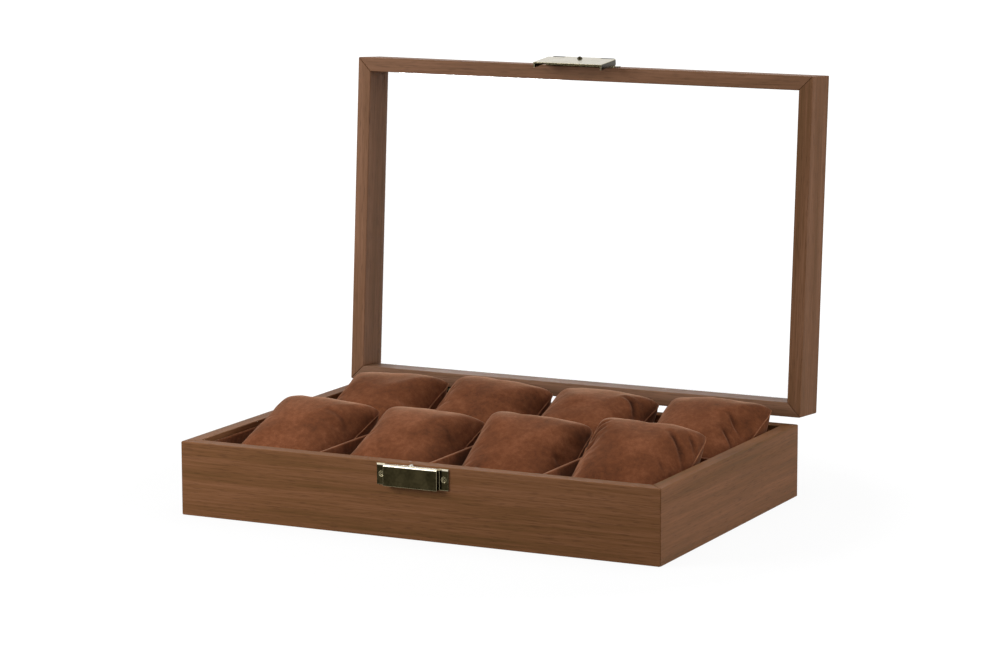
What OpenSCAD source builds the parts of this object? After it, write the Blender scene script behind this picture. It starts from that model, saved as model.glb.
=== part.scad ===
// Watch box: a veneered wooden case with a glazed lid, two hidden stop hinges,
// a flap hasp over a sprung catch, and eight cushions in a lined 4 by 2 tray.
// The frame has +X to the right, +Y to the back and +Z up, with the origin at
// the middle of the underside. The lid stands open against its hinge stops.

/* [Box] */
// Outside width, left to right
box_w = 300; // [270:1:340]
// Outside depth, front to back
box_d = 200; // [185:1:230]
// Height of the base
base_h = 43; // [40:0.5:54]
// Height of the lid
lid_h = 27; // [25:0.5:36]
// Thickness of the side panels and the lid rails
wall_t = 8.5; // [7.5:0.5:11]
// Gap along the seam when the lid is shut
seam_gap = 0.3; // [0.2:0.1:0.5]
// Angle that the lid opens to
open_angle = 93.9; // [91:0.1:97]

/* [Bottom] */
// Thickness of the bottom panel
bottom_t = 3; // [2.5:0.5:5]
// How far the bottom panel is let into the side panels
rabbet_w = 4; // [3:0.5:5]
// Thickness of the felt under the bottom panel
felt_t = 1; // [0.5:0.25:2]
// Space between the felt and the side panels
felt_margin = 0.25; // [0.1:0.05:0.5]

/* [Lining] */
// Thickness of the lining on the floor
floor_liner_t = 1.5; // [1:0.25:3]
// Thickness of the lining boards on the walls
liner_t = 2; // [1.5:0.25:3]
// Drop from the rim to the top edge of the lining
liner_drop = 3; // [2:0.5:5]
// Thickness of the dividers
divider_t = 2.5; // [2:0.25:4]
// Clearance in the slots where dividers cross
lap_gap = 0.1; // [0.05:0.05:0.2]

/* [Cushions] */
// Space at each side of a cushion
cushion_margin = 2.1; // [1.5:0.1:4]
// Length of a cushion along its slope
cushion_len = 89; // [76:1:92]
// Height of the crown over the seam
crown_h = 13.5; // [10:0.5:16]
// Depth of the belly under the seam, before it flattens on the floor
belly_h = 38; // [34:1:44]
// Drop from the top edge of the lining to the middle of the seam
seam_drop = 1.5; // [0:0.5:4]
// Clearance of a cushion to all that it lies against
cushion_gap = 0.3; // [0.3:0.1:0.6]
// Height over the edge behind a cushion from which it may swell over that edge
swell_gap = 11; // [10:0.5:14]

/* [Lid] */
// Depth of the groove in the rails that the glass sits in
groove_w = 4; // [3:0.1:5]
// How far the rail over the glass stands back from the rail below it
lip_back = 1.1; // [0.8:0.1:1.5]
// Thickness of the rail over the glass
lip_t = 5.3; // [4:0.1:7]
// Thickness of the glass
glass_t = 2.4; // [2:0.1:3]
// Space between the glass edge and the rails
glass_margin = 0.4; // [0.2:0.1:0.8]
// Clearance over and under the glass
glass_gap = 0.1; // [0.05:0.05:0.2]

/* [Hinges] */
// Distance from the end of the box to the middle of a hinge
hinge_inset = 55; // [40:1:70]
// Width of a hinge
hinge_w = 30; // [26:1:40]
// Height of the hinge axis over the base's rim
axis_rise = 0.5; // [0.3:0.1:0.8]
// Distance from the back face to the hinge axis
axis_out = 2.8; // [2.8:0.1:3.4]
// Radius of a hinge knuckle
barrel_r = 2.5; // [2.2:0.05:2.5]
// Diameter of a hinge pin
pin_d = 2; // [1.6:0.1:2.4]
// Thickness of a hinge leaf
leaf_t = 1; // [0.8:0.1:1.2]
// Height of a leaf, from the axis to its far edge
leaf_h = 13; // [12:0.5:16]
// Distance from the axis to the hinge screws
hinge_screw_h = 8.5; // [8:0.5:10]
// Distance between the two screws in a leaf
hinge_screw_pitch = 20; // [16:1:22]
// Distance from the axis to the back of the stop tab
stop_out = 6.5; // [5.5:0.25:6.5]
// Width of the stop tab
stop_w = 6; // [4:0.5:8]
// Running clearance of the knuckles, pins and stops
run_gap = 0.1; // [0.05:0.05:0.15]

/* [Catch] */
// Width of the catch with its flanges
catch_w = 44.6; // [42:0.2:48]
// Width of the raised case of the catch
case_w = 33.6; // [30:0.2:36]
// Height of the catch
catch_h = 12.2; // [11.2:0.1:12.6]
// Drop from the rim to the top of the catch
catch_drop = 0.8; // [0.7:0.1:1.2]
// How far the case stands out from the front
case_out = 4.2; // [4:0.1:4.3]
// Rounding of the case's upper front edge
case_round = 1.2; // [0.8:0.1:1.5]
// Thickness of the catch's sheet metal
case_t = 0.6; // [0.5:0.05:0.8]
// Thickness of the catch's flanges
flange_t = 0.8; // [0.6:0.1:1]
// Distance from the front face to the plunger's axis
plunger_out = 1.8; // [1.7:0.05:1.9]
// Diameter of the plunger
plunger_d = 2.7; // [2.4:0.1:2.8]
// Height of the plunger over the catch
plunger_rise = 1.2; // [1.1:0.1:1.6]
// Travel of the plunger
plunger_travel = 1; // [0.8:0.1:1.1]
// Thickness of the plunger's collar
collar_t = 0.8; // [0.6:0.1:1.2]
// How far the collar stands out round the plunger
collar_edge = 0.3; // [0.2:0.05:0.3]
// Diameter of the spring's wire
wire_d = 0.4; // [0.3:0.05:0.5]

/* [Hasp] */
// Height of the hasp plate
plate_h = 11; // [10:0.5:12]
// Thickness of the hasp plate
plate_t = 0.8; // [0.6:0.1:1]
// Rise from the lid's rim to the lower edge of the plate
plate_rise = 1; // [0.6:0.1:1.5]
// Height of the hasp pin's axis over the lid's rim
hasp_axis_rise = 7.2; // [7:0.1:7.6]
// Distance from the front face to the hasp pin's axis
hasp_axis_out = 3.2; // [3.2:0.1:3.4]
// Radius of a hasp knuckle
knuckle_r = 2.2; // [2:0.05:2.3]
// Diameter of the hasp pin
hasp_pin_d = 1.8; // [1.4:0.1:2]
// Length of the hasp pin
hasp_pin_len = 41; // [38:0.5:42]
// Width of the middle knuckle, which is the flap's
mid_knuckle_w = 23.6; // [20:0.2:26]
// Thickness of the flap's sheet metal
flap_t = 0.8; // [0.6:0.1:0.9]
// Reach of the flap below the lid's rim
flap_reach = 16.7; // [15.5:0.1:18]
// Depth of the flap's side walls
flap_side = 3.4; // [2.8:0.1:3.5]
// Depth of the lip at the flap's free edge
flap_lip = 1; // [0.9:0.05:1.1]
// Angle that the flap hangs in by while the lid is open
droop_angle = 8; // [6:0.5:9]
// Diameter of the stud's dome
stud_d = 3.3; // [3:0.1:4]
// Height of the stud's dome
stud_h = 1.4; // [1:0.1:1.6]
// Rise of the stud over the lid's rim
stud_rise = 1.6; // [1.4:0.1:2.2]

/* [Screws] */
// Diameter of a screw's head
screw_head_d = 3; // [2.8:0.1:3.4]
// Diameter of a screw's shank
screw_shank_d = 1.8; // [1.4:0.1:2.2]
// Length of a screw
screw_len = 7; // [5:0.5:7]
// Depth of a screw's countersink
countersink_h = 0.5; // [0.4:0.05:0.55]
// Height of a screw's cross recess
recess_h = 0.4; // [0.3:0.05:0.45]

/* [Hidden] */
eps = 0.01;
$fn = 48;

// Heights in the base
panel_top = felt_t + bottom_t;
floor_z = panel_top + floor_liner_t;
liner_top = base_h - liner_drop;
inner_w = box_w - 2 * wall_t;
inner_d = box_d - 2 * wall_t;

// The tray is 4 cells wide and 2 cells deep
columns = 4;
rows = 2;
tray_w = inner_w - 2 * liner_t;
tray_d = inner_d - 2 * liner_t;
cell_w = (tray_w - (columns - 1) * divider_t) / columns;
cell_d = (tray_d - (rows - 1) * divider_t) / rows;
cell_pitch = cell_w + divider_t;
lap_h = (liner_top - floor_z) / 2;

// Heights in the shut lid
rim_z = base_h + seam_gap;
lid_top = rim_z + lid_h;
lip_z = lid_top - lip_t;
glass_z = lip_z - glass_gap - glass_t;
ledge_z = glass_z - glass_gap;

// Hinge axis, and the height where the stop tab meets the open lid's leaf
hinge_x = box_w / 2 - hinge_inset;
axis_y = box_d / 2 + axis_out;
axis_z = base_h + axis_rise;
knuckle_w = hinge_w / 3;
tab_t = leaf_t;
tab_top = ((axis_out - leaf_t) + stop_out * cos(open_angle)) / sin(open_angle) - run_gap;
arm_drop = barrel_r + 1;
leaf_start = barrel_r + 2 * run_gap;

// Catch
catch_top = base_h - catch_drop;
catch_bottom = catch_top - catch_h;
catch_screw_x = (catch_w + case_w) / 4;
catch_mid = (catch_top + catch_bottom) / 2;
collar_top = catch_top - case_t - run_gap;
spring_r = plunger_d / 2 - wire_d / 2;
spring_turns = 7;
spring_steps = 10;
spring_sides = 6;

// Hasp
hasp_z = rim_z + hasp_axis_rise;
hasp_bottom = rim_z + plate_rise;
outer_knuckle_end = hasp_pin_len / 2 - 0.5;
flap_skin = hasp_axis_out + knuckle_r - flap_t;
flap_end = rim_z - flap_reach;
skin_clear = knuckle_r + 3 * run_gap;
stud_z = rim_z + stud_rise;
stud_shank_d = 0.6 * stud_d;
hasp_screw_x = 16;
hasp_screw_z = hasp_bottom + 2.6;

// Cushion shape: points round the seam, rings from crown to seam, and curves
seam_points = 32;
crown_rings = 5;
corner_power = 8;
swell_power = 2.3;
swell_round = 0.85;
ear_drop = 2;

// How each cushion lies, front row then rear row, from left to right:
// shift to the right, shift to the back, rise, slope, lean and turn
LIE = [
    [[1.5, 4.0, -0.5, 20.5, 3, -1], [1.5, 3.5, -0.5, 22, 3, 0],
     [1.0, 4.5, -2.5, 28, 4, 3], [1.0, 4.0, -1.5, 28, 6, 3]],
    [[1.5, 4.5, 0.5, 22.5, 2.5, 1], [1.0, 4.0, 0.0, 24, 4.5, 0],
     [1.5, 3.0, 2.5, 18.5, 3, 0], [1.5, 5.0, 0.5, 22.5, 3, 0]]
];

veneer = [0.42, 0.30, 0.21];
velvet = [0.45, 0.28, 0.19];
antique = [0.45, 0.40, 0.28];
steel = [0.70, 0.70, 0.70];
black_felt = [0.10, 0.09, 0.08];

function clamp(v, low, high) = min(max(v, low), high);

// A point of the outline's unit rounded square at angle a
function seam_point(a) =
    let (c = cos(a), s = sin(a),
         r = pow(pow(abs(c), corner_power) + pow(abs(s), corner_power), -1 / corner_power))
    [r * c, r * s];

// A cushion's point before it is laid in its cell; side is 1 over the seam and -1 under it
function cushion_point(ring, j, side) =
    let (grow = sin(90 * ring / crown_rings),
         q = seam_point(360 * (j + 0.5) / seam_points),
         swell = pow(1 - pow(grow, swell_power), swell_round),
         depth = side > 0 ? crown_h : -belly_h,
         ear = ear_drop * pow(abs(q[0] * q[1]) * grow * grow, 3))
    [q[0] * grow * (cell_w / 2 - cushion_margin), q[1] * grow * cushion_len / 2, depth * swell - ear];

// Leans a point about Y, slopes it about X and turns it about Z
function laid(p, slope, lean, turn) =
    let (a = [p[0] * cos(lean) + p[2] * sin(lean), p[1], p[2] * cos(lean) - p[0] * sin(lean)],
         b = [a[0], a[1] * cos(slope) - a[2] * sin(slope), a[1] * sin(slope) + a[2] * cos(slope)])
    [b[0] * cos(turn) - b[1] * sin(turn), b[0] * sin(turn) + b[1] * cos(turn), b[2]];

// Holds a point inside its cell, except that it may swell over the edge behind it
function held(p, edge_t) =
    let (side = cell_w / 2 - cushion_gap,
         back = cell_d / 2 - cushion_gap,
         over = p[2] > liner_top + swell_gap ? edge_t : 0)
    [clamp(p[0], -side, side), clamp(p[1], -back, back + over),
     clamp(p[2], floor_z + cushion_gap, glass_z - 1)];

function cell_x(column) = (column - (columns - 1) / 2) * cell_pitch;
function cell_y(row) = (row - (rows - 1) / 2) * (cell_d + divider_t);

// Faces of a closed skin made of a first point, count rings of n points and a last point
function skin_faces(n, count) = concat(
    [for (j = [0:n - 1]) [0, 1 + (j + 1) % n, 1 + j]],
    [for (k = [0:count - 2]) for (j = [0:n - 1])
        let (a = 1 + k * n, b = a + n, m = (j + 1) % n)
        each [[a + j, a + m, b + m], [a + j, b + m, b + j]]],
    [for (j = [0:n - 1])
        let (b = 1 + (count - 1) * n)
        [1 + count * n, b + j, b + (j + 1) % n]]);

// Moves a shape from the shut lid to the open lid
module opened() {
    translate([0, axis_y, axis_z])
        rotate([-open_angle, 0, 0])
            translate([0, -axis_y, -axis_z])
                children();
}

// Draws on the front face: X stays, Y becomes height and Z points out of the face
module on_front() {
    translate([0, -box_d / 2, 0]) rotate([90, 0, 0]) children();
}

// Draws on the back face at x: Y becomes height and Z points out of the face
module on_back(x) {
    translate([x, box_d / 2, 0]) rotate([90, 0, 180]) children();
}

// One side of a mitred frame, along X at the front, from the outside inwards
module mitred_bar(length, width, from_z, to_z) {
    translate([0, 0, from_z])
        linear_extrude(to_z - from_z)
            polygon([[-length / 2, 0], [length / 2, 0],
                     [length / 2 - width, width], [-length / 2 + width, width]]);
}

// Puts a bar drawn at the origin on one side of the box: 0 front, 1 right, 2 rear, 3 left
module on_side(side, inset) {
    reach = (side % 2 == 0 ? box_d : box_w) / 2 - inset;
    rotate([0, 0, 90 * side]) translate([0, -reach, 0]) children();
}

function side_length(side) = side % 2 == 0 ? box_w : box_d;

// A countersunk screw with its head at the origin and its shank along -Z
module screw() {
    slot_w = 0.22 * screw_head_d;
    slot_l = 0.62 * screw_head_d;
    difference() {
        screw_body(screw_len);
        for (turn = [45, 135])
            rotate([0, 0, turn])
                translate([-slot_l / 2, -slot_w / 2, -recess_h])
                    cube([slot_l, slot_w, recess_h + eps]);
    }
}

module screw_body(length) {
    translate([0, 0, -countersink_h])
        cylinder(h = countersink_h, d1 = screw_shank_d, d2 = screw_head_d);
    translate([0, 0, -length])
        cylinder(h = length - countersink_h + eps, d = screw_shank_d);
}

// The room that a screw takes, open at its head
module screw_hole() {
    screw_body(screw_len);
    cylinder(h = 1, d = screw_head_d);
}

// ---- Base ----

module base_panel(side) {
    length = side_length(side);
    on_side(side, 0)
        difference() {
            mitred_bar(length, wall_t, 0, base_h);
            translate([-length / 2, wall_t - rabbet_w, -eps])
                cube([length, rabbet_w + eps, panel_top + eps]);
        }
}

module base_front_panel() {
    color(veneer) difference() {
        base_panel(0);
        catch_screw_places() screw_hole();
    }
}

module base_rear_panel() {
    color(veneer) difference() {
        base_panel(2);
        hinge_base_screw_places() screw_hole();
    }
}

module base_left_panel() { color(veneer) base_panel(3); }

module base_right_panel() { color(veneer) base_panel(1); }

module base_bottom_panel() {
    color(veneer)
        translate([-inner_w / 2 - rabbet_w, -inner_d / 2 - rabbet_w, felt_t])
            cube([inner_w + 2 * rabbet_w, inner_d + 2 * rabbet_w, bottom_t]);
}

module underside_felt() {
    w = inner_w + 2 * (rabbet_w - felt_margin);
    d = inner_d + 2 * (rabbet_w - felt_margin);
    color(black_felt) translate([-w / 2, -d / 2, 0]) cube([w, d, felt_t]);
}

// ---- Lining ----

module floor_liner() {
    color(velvet)
        translate([-inner_w / 2, -inner_d / 2, panel_top])
            cube([inner_w, inner_d, floor_liner_t]);
}

module long_liner(y) {
    translate([-inner_w / 2, y, floor_z]) cube([inner_w, liner_t, liner_top - floor_z]);
}

module short_liner(x) {
    translate([x, -tray_d / 2, floor_z]) cube([liner_t, tray_d, liner_top - floor_z]);
}

module front_liner() { color(velvet) long_liner(-inner_d / 2); }

module rear_liner() { color(velvet) long_liner(tray_d / 2); }

module left_liner() { color(velvet) short_liner(-inner_w / 2); }

module right_liner() { color(velvet) short_liner(tray_w / 2); }

// The row divider is slotted from above where the column dividers cross it
module row_divider() {
    slot_w = divider_t + 2 * lap_gap;
    color(velvet) difference() {
        translate([-tray_w / 2, -divider_t / 2, floor_z])
            cube([tray_w, divider_t, liner_top - floor_z]);
        for (column = [1:columns - 1])
            translate([divider_x(column) - slot_w / 2, -divider_t, floor_z + lap_h])
                cube([slot_w, 2 * divider_t, lap_h + eps]);
    }
}

function divider_x(column) = cell_x(column) - cell_pitch / 2;

// A column divider is slotted from below over the row divider
module column_divider(column) {
    slot_w = divider_t + 2 * lap_gap;
    color(velvet) difference() {
        translate([divider_x(column) - divider_t / 2, -tray_d / 2, floor_z])
            cube([divider_t, tray_d, liner_top - floor_z]);
        translate([divider_x(column) - divider_t, -slot_w / 2, floor_z - eps])
            cube([2 * divider_t, slot_w, lap_h + eps]);
    }
}

module left_divider() { column_divider(1); }

module middle_divider() { column_divider(2); }

module right_divider() { column_divider(3); }

// ---- Cushions ----

module cushion(row, column) {
    lie = LIE[row][column];
    edge_t = (row == rows - 1 ? liner_t : divider_t);
    middle = [lie[0], lie[1], liner_top - seam_drop + lie[2]];
    place = function (p) held(laid(p, lie[3], lie[4], lie[5]) + middle, edge_t);
    points = concat(
        [place(cushion_point(0, 0, 1))],
        [for (ring = [1:crown_rings]) for (j = [0:seam_points - 1])
            place(cushion_point(ring, j, 1))],
        [for (ring = [crown_rings - 1:-1:1]) for (j = [0:seam_points - 1])
            place(cushion_point(ring, j, -1))],
        [place(cushion_point(0, 0, -1))]);
    color(velvet)
        translate([cell_x(column), cell_y(row), 0])
            polyhedron(points, skin_faces(seam_points, 2 * crown_rings - 1));
}

module front_cushion_1() { cushion(0, 0); }

module front_cushion_2() { cushion(0, 1); }

module front_cushion_3() { cushion(0, 2); }

module front_cushion_4() { cushion(0, 3); }

module rear_cushion_1() { cushion(1, 0); }

module rear_cushion_2() { cushion(1, 1); }

module rear_cushion_3() { cushion(1, 2); }

module rear_cushion_4() { cushion(1, 3); }

// ---- Catch ----

module catch_screw_places() {
    on_front()
        for (x = [-catch_screw_x, catch_screw_x])
            translate([x, catch_mid, flange_t]) children();
}

// A block on the front face whose upper front edge is rounded
module case_block(width, low, high, from, out, round) {
    translate([-width / 2, low, from]) cube([width, high - low - round, out - from]);
    translate([-width / 2, low, from]) cube([width, high - low, out - from - round]);
    translate([-width / 2, high - round, out - round]) rotate([0, 90, 0]) cylinder(h = width, r = round);
}

module catch_case() {
    color(antique) difference() {
        on_front() {
            translate([-catch_w / 2, catch_bottom, 0]) cube([catch_w, catch_h, flange_t]);
            case_block(case_w, catch_bottom, catch_top, 0, case_out, case_round);
        }
        on_front()
            case_block(case_w - 2 * case_t, catch_bottom + case_t, catch_top - case_t,
                       -eps, case_out - case_t, case_round - case_t);
        plunger_place(catch_top - 2 * case_t)
            cylinder(h = 3 * case_t, d = plunger_d + 2 * run_gap);
        catch_screw_places() screw_hole();
    }
}

module plunger_place(z) {
    translate([0, -box_d / 2 - plunger_out, z]) children();
}

module catch_plunger() {
    straight = case_t + run_gap + plunger_rise - plunger_d / 2;
    color(steel) {
        plunger_place(collar_top - collar_t)
            cylinder(h = collar_t, d = plunger_d + 2 * collar_edge);
        plunger_place(collar_top - eps) cylinder(h = straight + eps, d = plunger_d);
        plunger_place(collar_top + straight) intersection() {
            sphere(d = plunger_d);
            translate([-plunger_d, -plunger_d, 0]) cube(2 * plunger_d);
        }
    }
}

// A coil spring that stands in the case under the plunger's collar
module catch_spring() {
    foot = catch_bottom + case_t + wire_d / 2;
    rise = collar_top - collar_t - wire_d / 2 - foot;
    steps = spring_turns * spring_steps;
    centre = function (i) [spring_r * cos(360 * i / spring_steps),
                           spring_r * sin(360 * i / spring_steps), foot + rise * i / steps];
    rim = function (i, k)
        let (a = 360 * i / spring_steps, b = -360 * k / spring_sides, r = wire_d / 2)
        centre(i) + [r * cos(b) * cos(a), r * cos(b) * sin(a), r * sin(b)];
    points = concat(
        [centre(0)],
        [for (i = [0:steps]) for (k = [0:spring_sides - 1]) rim(i, k)],
        [centre(steps)]);
    color(steel) plunger_place(0) polyhedron(points, skin_faces(spring_sides, steps + 1));
}

module catch_screws() { color(steel) catch_screw_places() screw(); }

// ---- Hinges ----

module hinge_base_screw_places() {
    for (x = [-hinge_x, hinge_x])
        on_back(x)
            for (s = [-hinge_screw_pitch / 2, hinge_screw_pitch / 2])
                translate([s, axis_z - hinge_screw_h, leaf_t]) children();
}

module hinge_lid_screw_places() {
    for (x = [-hinge_x, hinge_x])
        on_back(x)
            for (s = [-hinge_screw_pitch / 2, hinge_screw_pitch / 2])
                translate([s, axis_z + hinge_screw_h, leaf_t]) children();
}

// A knuckle from x0 to x1 with the strap that joins it to its leaf, which is
// under the axis when side is -1 and over it when side is 1
module knuckle(x0, x1, side) {
    strap_low = side < 0 ? axis_z - barrel_r : axis_z + barrel_r - leaf_t;
    plate_low = side < 0 ? axis_z - leaf_start - eps : axis_z + barrel_r - leaf_t;
    plate_high = side < 0 ? axis_z - barrel_r + leaf_t : axis_z + leaf_start + eps;
    translate([x0, axis_z, axis_out]) rotate([0, 90, 0]) cylinder(h = x1 - x0, r = barrel_r);
    translate([x0, strap_low, 0]) cube([x1 - x0, leaf_t, axis_out]);
    translate([x0, plate_low, 0]) cube([x1 - x0, plate_high - plate_low, leaf_t]);
}

module hinge_bore(d) {
    translate([-hinge_w, axis_z, axis_out]) rotate([0, 90, 0]) cylinder(h = 2 * hinge_w, d = d);
}

// The base leaf has the outer knuckles and the bent tab that stops the lid
module hinge_base_leaf(x) {
    arm_low = axis_z - arm_drop - tab_t;
    color(antique) difference() {
        on_back(x) difference() {
            union() {
                translate([-hinge_w / 2, axis_z - leaf_h, 0])
                    cube([hinge_w, leaf_h - leaf_start, leaf_t]);
                knuckle(-hinge_w / 2, -knuckle_w / 2 - run_gap, -1);
                knuckle(knuckle_w / 2 + run_gap, hinge_w / 2, -1);
                translate([-stop_w / 2, arm_low, 0])
                    cube([stop_w, tab_t, axis_out + stop_out]);
                translate([-stop_w / 2, arm_low, axis_out + stop_out - tab_t])
                    cube([stop_w, axis_z + tab_top - arm_low, tab_t]);
            }
            hinge_bore(pin_d);
        }
        hinge_base_screw_places() screw_hole();
    }
}

module hinge_lid_leaf(x) {
    color(antique) opened() difference() {
        on_back(x) difference() {
            union() {
                translate([-hinge_w / 2, axis_z + leaf_start, 0])
                    cube([hinge_w, leaf_h - leaf_start, leaf_t]);
                knuckle(-knuckle_w / 2, knuckle_w / 2, 1);
            }
            hinge_bore(pin_d + 2 * run_gap);
        }
        hinge_lid_screw_places() screw_hole();
    }
}

module hinge_pin(x) {
    color(steel)
        on_back(x)
            translate([-hinge_w / 2, axis_z, axis_out])
                rotate([0, 90, 0]) cylinder(h = hinge_w, d = pin_d);
}

module left_hinge_base_leaf() { hinge_base_leaf(-hinge_x); }

module right_hinge_base_leaf() { hinge_base_leaf(hinge_x); }

module left_hinge_lid_leaf() { hinge_lid_leaf(-hinge_x); }

module right_hinge_lid_leaf() { hinge_lid_leaf(hinge_x); }

module left_hinge_pin() { hinge_pin(-hinge_x); }

module right_hinge_pin() { hinge_pin(hinge_x); }

module hinge_base_screws() { color(steel) hinge_base_screw_places() screw(); }

module hinge_lid_screws() { color(steel) opened() hinge_lid_screw_places() screw(); }

// ---- Lid ----

module lid_rail(side) {
    length = side_length(side);
    on_side(side, 0) {
        mitred_bar(length, wall_t, rim_z, ledge_z);
        mitred_bar(length, wall_t - groove_w, ledge_z - eps, lip_z + eps);
        mitred_bar(length, wall_t - lip_back, lip_z, lid_top);
    }
}

module lid_front_rail() {
    color(veneer) opened() difference() {
        lid_rail(0);
        hasp_screw_places() screw_hole();
    }
}

module lid_rear_rail() {
    color(veneer) opened() difference() {
        lid_rail(2);
        hinge_lid_screw_places() screw_hole();
    }
}

module lid_left_rail() { color(veneer) opened() lid_rail(3); }

module lid_right_rail() { color(veneer) opened() lid_rail(1); }

module lid_glass() {
    w = inner_w + 2 * (groove_w - glass_margin);
    d = inner_d + 2 * (groove_w - glass_margin);
    color([0.8, 0.9, 0.9, 0.3]) opened() translate([-w / 2, -d / 2, glass_z]) cube([w, d, glass_t]);
}

// ---- Hasp ----

module hasp_screw_places() {
    on_front()
        for (x = [-hasp_screw_x, hasp_screw_x])
            translate([x, hasp_screw_z, plate_t]) children();
}

module hasp_barrel(x0, x1) {
    translate([x0, hasp_z, hasp_axis_out]) rotate([0, 90, 0]) cylinder(h = x1 - x0, r = knuckle_r);
}

module hasp_bore() {
    d = hasp_pin_d + 2 * run_gap;
    translate([-catch_w, hasp_z, hasp_axis_out]) rotate([0, 90, 0]) cylinder(h = 2 * catch_w, d = d);
}

// The plate carries the two outer knuckles on straps bent out of its upper edge
module hasp_plate() {
    inner = mid_knuckle_w / 2 + 2 * run_gap;
    strap_t = plate_t + 0.2;
    color(antique) opened() difference() {
        on_front() difference() {
            union() {
                translate([-catch_w / 2, hasp_bottom, 0]) cube([catch_w, plate_h, plate_t]);
                for (x0 = [-outer_knuckle_end, inner]) {
                    hasp_barrel(x0, x0 + outer_knuckle_end - inner);
                    translate([x0, hasp_z + knuckle_r - strap_t, 0])
                        cube([outer_knuckle_end - inner, strap_t, hasp_axis_out]);
                }
            }
            hasp_bore();
        }
        hasp_screw_places() screw_hole();
    }
}

// Hangs the flap and its pin inwards about the pin's axis
module drooped() {
    opened()
        translate([0, -box_d / 2 - hasp_axis_out, hasp_z])
            rotate([droop_angle, 0, 0])
                translate([0, box_d / 2 + hasp_axis_out, -hasp_z])
                    children();
}

module hasp_pin() {
    color(steel) drooped() on_front()
        translate([-hasp_pin_len / 2, hasp_z, hasp_axis_out])
            rotate([0, 90, 0]) cylinder(h = hasp_pin_len, d = hasp_pin_d);
}

// A shallow tray that shuts over the catch's case
module hasp_flap() {
    skin_top = hasp_z - skin_clear;
    side_out = flap_skin + flap_t - flap_side;
    color(antique) drooped() difference() {
        on_front() difference() {
            union() {
                translate([-catch_w / 2, flap_end, flap_skin])
                    cube([catch_w, skin_top - flap_end, flap_t]);
                translate([-mid_knuckle_w / 2, skin_top - eps, flap_skin])
                    cube([mid_knuckle_w, skin_clear, flap_t]);
                hasp_barrel(-mid_knuckle_w / 2, mid_knuckle_w / 2);
                for (x = [-catch_w / 2, catch_w / 2 - flap_t])
                    translate([x, flap_end, side_out])
                        cube([flap_t, skin_top - flap_end, flap_side]);
                translate([-catch_w / 2, flap_end, flap_skin + flap_t - flap_lip])
                    cube([catch_w, flap_t, flap_lip]);
            }
            hasp_bore();
        }
        stud_place(-10) cylinder(h = 20, d = stud_shank_d);
    }
}

// The stud's axis, with Z out of the front; out is measured from the flap's inner face
module stud_place(out) {
    on_front() translate([0, stud_z, flap_skin + out]) children();
}

module hasp_stud() {
    nub_h = 0.6;
    ball_r = (pow(stud_d / 2, 2) + pow(stud_h, 2)) / (2 * stud_h);
    color(antique) drooped() {
        stud_place(-nub_h) cylinder(h = nub_h, d = 0.75 * stud_d);
        stud_place(-eps) cylinder(h = flap_t + 2 * eps, d = stud_shank_d);
        intersection() {
            stud_place(flap_t + stud_h - ball_r) sphere(r = ball_r);
            stud_place(flap_t) cylinder(h = 2 * stud_h, d = 2 * stud_d);
        }
    }
}

module hasp_screws() { color(steel) opened() hasp_screw_places() screw(); }

base_front_panel();
base_rear_panel();
base_left_panel();
base_right_panel();
base_bottom_panel();
underside_felt();
floor_liner();
front_liner();
rear_liner();
left_liner();
right_liner();
row_divider();
left_divider();
middle_divider();
right_divider();
front_cushion_1();
front_cushion_2();
front_cushion_3();
front_cushion_4();
rear_cushion_1();
rear_cushion_2();
rear_cushion_3();
rear_cushion_4();
catch_case();
catch_plunger();
catch_spring();
catch_screws();
left_hinge_base_leaf();
left_hinge_lid_leaf();
left_hinge_pin();
right_hinge_base_leaf();
right_hinge_lid_leaf();
right_hinge_pin();
hinge_base_screws();
hinge_lid_screws();
lid_front_rail();
lid_rear_rail();
lid_left_rail();
lid_right_rail();
lid_glass();
hasp_plate();
hasp_pin();
hasp_flap();
hasp_stud();
hasp_screws();
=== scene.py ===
# %% [markdown]
# # A watch box with eight cushions
# The box is a veneered case with a glass lid that stands open, and a microsuede cushion in each of its
# cells.
# The rigid pieces come ready from the CAD frame, so this lesson gives them rounded edges and finishes.
# The cushions are sewn goods, which a solid can't show, so they are modelled and filled here.

import math

import bmesh
import bpy
from mathutils import Matrix, Vector, noise


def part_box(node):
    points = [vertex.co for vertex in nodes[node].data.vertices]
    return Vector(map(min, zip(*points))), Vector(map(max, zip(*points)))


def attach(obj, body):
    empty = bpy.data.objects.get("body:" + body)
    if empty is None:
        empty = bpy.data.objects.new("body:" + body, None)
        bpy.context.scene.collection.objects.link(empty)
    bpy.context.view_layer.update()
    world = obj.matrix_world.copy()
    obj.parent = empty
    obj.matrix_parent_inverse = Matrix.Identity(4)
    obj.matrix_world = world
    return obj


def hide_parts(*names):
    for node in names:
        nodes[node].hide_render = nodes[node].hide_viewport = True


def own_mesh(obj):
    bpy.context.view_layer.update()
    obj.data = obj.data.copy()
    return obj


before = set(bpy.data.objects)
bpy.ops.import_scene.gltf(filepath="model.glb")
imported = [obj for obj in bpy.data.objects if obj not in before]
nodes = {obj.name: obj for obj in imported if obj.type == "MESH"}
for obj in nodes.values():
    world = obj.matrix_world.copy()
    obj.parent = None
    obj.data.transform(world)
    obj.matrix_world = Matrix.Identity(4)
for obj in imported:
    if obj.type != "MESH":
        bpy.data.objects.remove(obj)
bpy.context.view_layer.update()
scene = bpy.context.scene
MM = 0.001

# %% [markdown]
# ## Camera
# A long lens far away keeps the box's edges nearly parallel, as a catalogue picture does.
# It is placed by where it aims, how far it stands off, and how it is turned round the box.

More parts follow.
